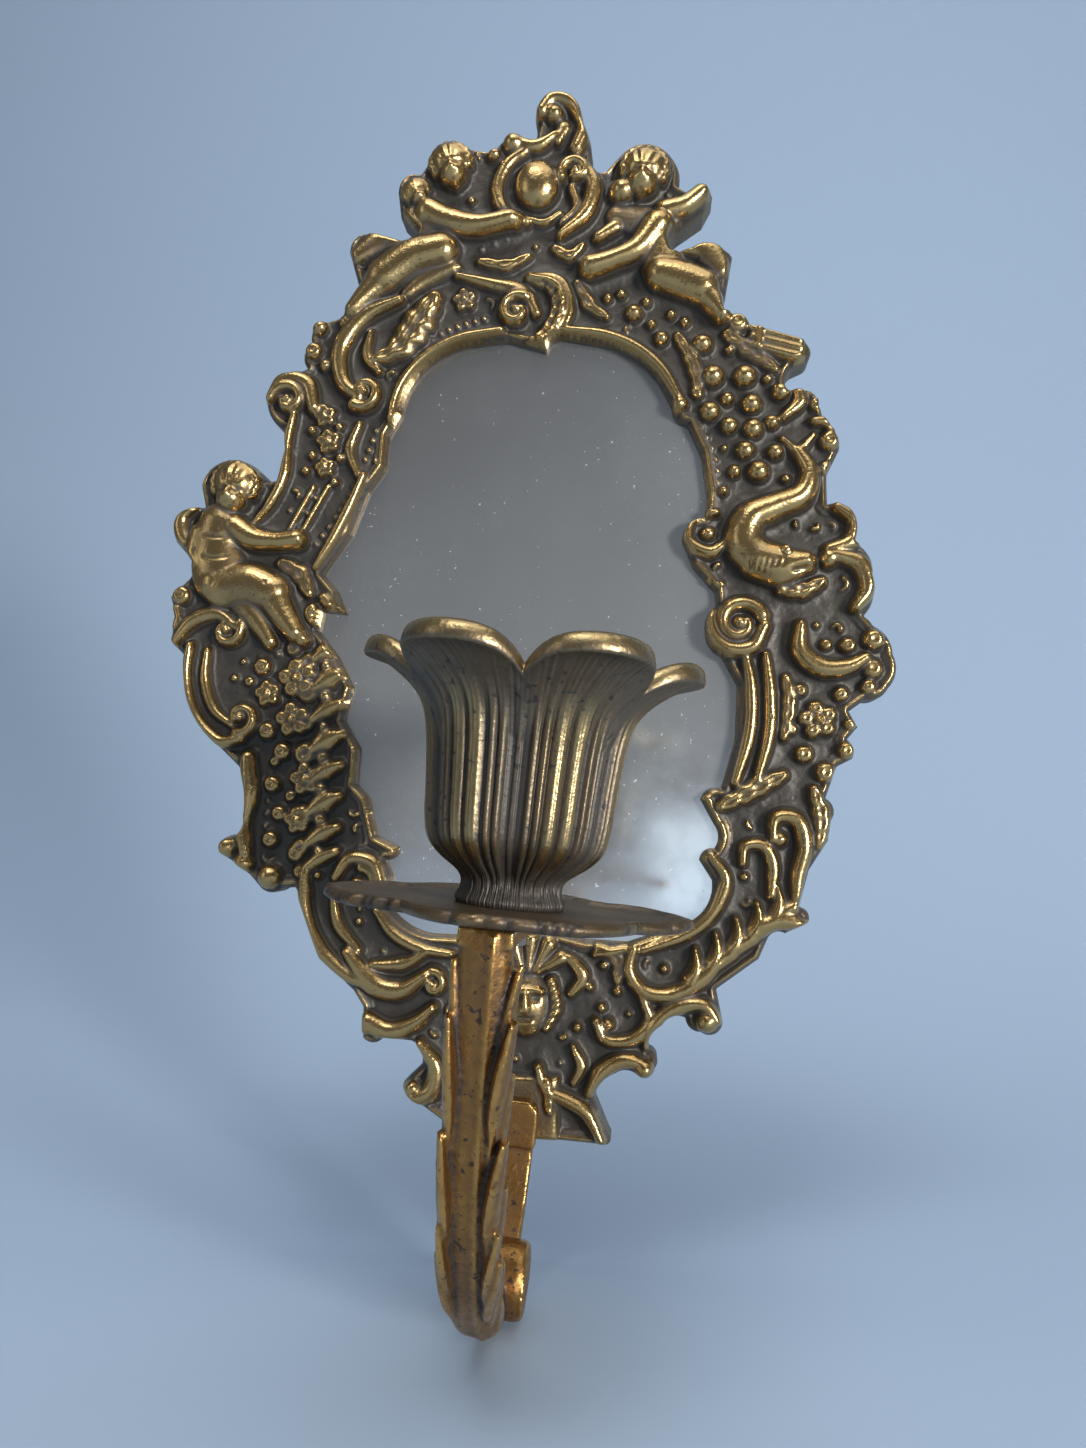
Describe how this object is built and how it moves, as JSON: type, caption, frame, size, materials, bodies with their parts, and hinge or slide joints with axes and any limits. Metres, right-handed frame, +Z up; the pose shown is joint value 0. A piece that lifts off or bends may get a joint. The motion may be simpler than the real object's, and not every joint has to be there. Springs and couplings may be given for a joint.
{
  "type": "girandole mirror",
  "caption": "Small wall mirror in a pierced rococo cast brass frame, with a scrolled arm below that carries a drip pan and a tulip candle cup.",
  "frame": {"origin": "on the wall plane, on the centre line of the frame, level with the nose of the mask at the frame's foot", "axes": "X to the right seen from the front, Y towards the wall so the mirror faces -Y, Z up; metres"},
  "size_m": [0.2138, 0.128, 0.3428],
  "materials": {
    "cast_brass": "antique brass, polished on the high points, dark in the hollows",
    "arm_brass": "worn cast brass, warm brown, pitted",
    "pan_brass": "worn cast brass",
    "cup_brass": "antique brass, grey brown between golden ribs",
    "old_mirror": "old silvering, foxed and dusty",
    "packing_felt": "brown felt",
    "sheet_brass": "dull sheet brass",
    "brass_wire": "drawn brass wire",
    "steel_screws": "dull steel"
  },
  "bodies": {
    "frame": {"frame_casting": "cast_brass", "mirror_glass": "old_mirror", "glass_packing": "packing_felt", "back_plate": "sheet_brass", "back_plate_screws": "steel_screws", "hanging_lug": "sheet_brass", "lug_screws": "steel_screws"},
    "ring": {"hanging_ring": "brass_wire"},
    "arm": {"candle_arm": "arm_brass", "drip_pan": "pan_brass", "candle_cup": "cup_brass", "cup_screw": "steel_screws", "arm_washer": "sheet_brass", "arm_screw": "steel_screws"}
  },
  "joints": [
    {"name": "ring_swing", "type": "hinge", "parent": "frame", "child": "ring", "pos_m": [-0.002, -0.00295, 0.2287], "axis": [1, 0, 0], "range_deg": [0, 180]},
    {"name": "arm_turn", "type": "hinge", "parent": "frame", "child": "arm", "pos_m": [-0.002, -0.012, -0.032], "axis": [0, 1, 0], "range_deg": [-12.7, 3.3]}
  ]
}
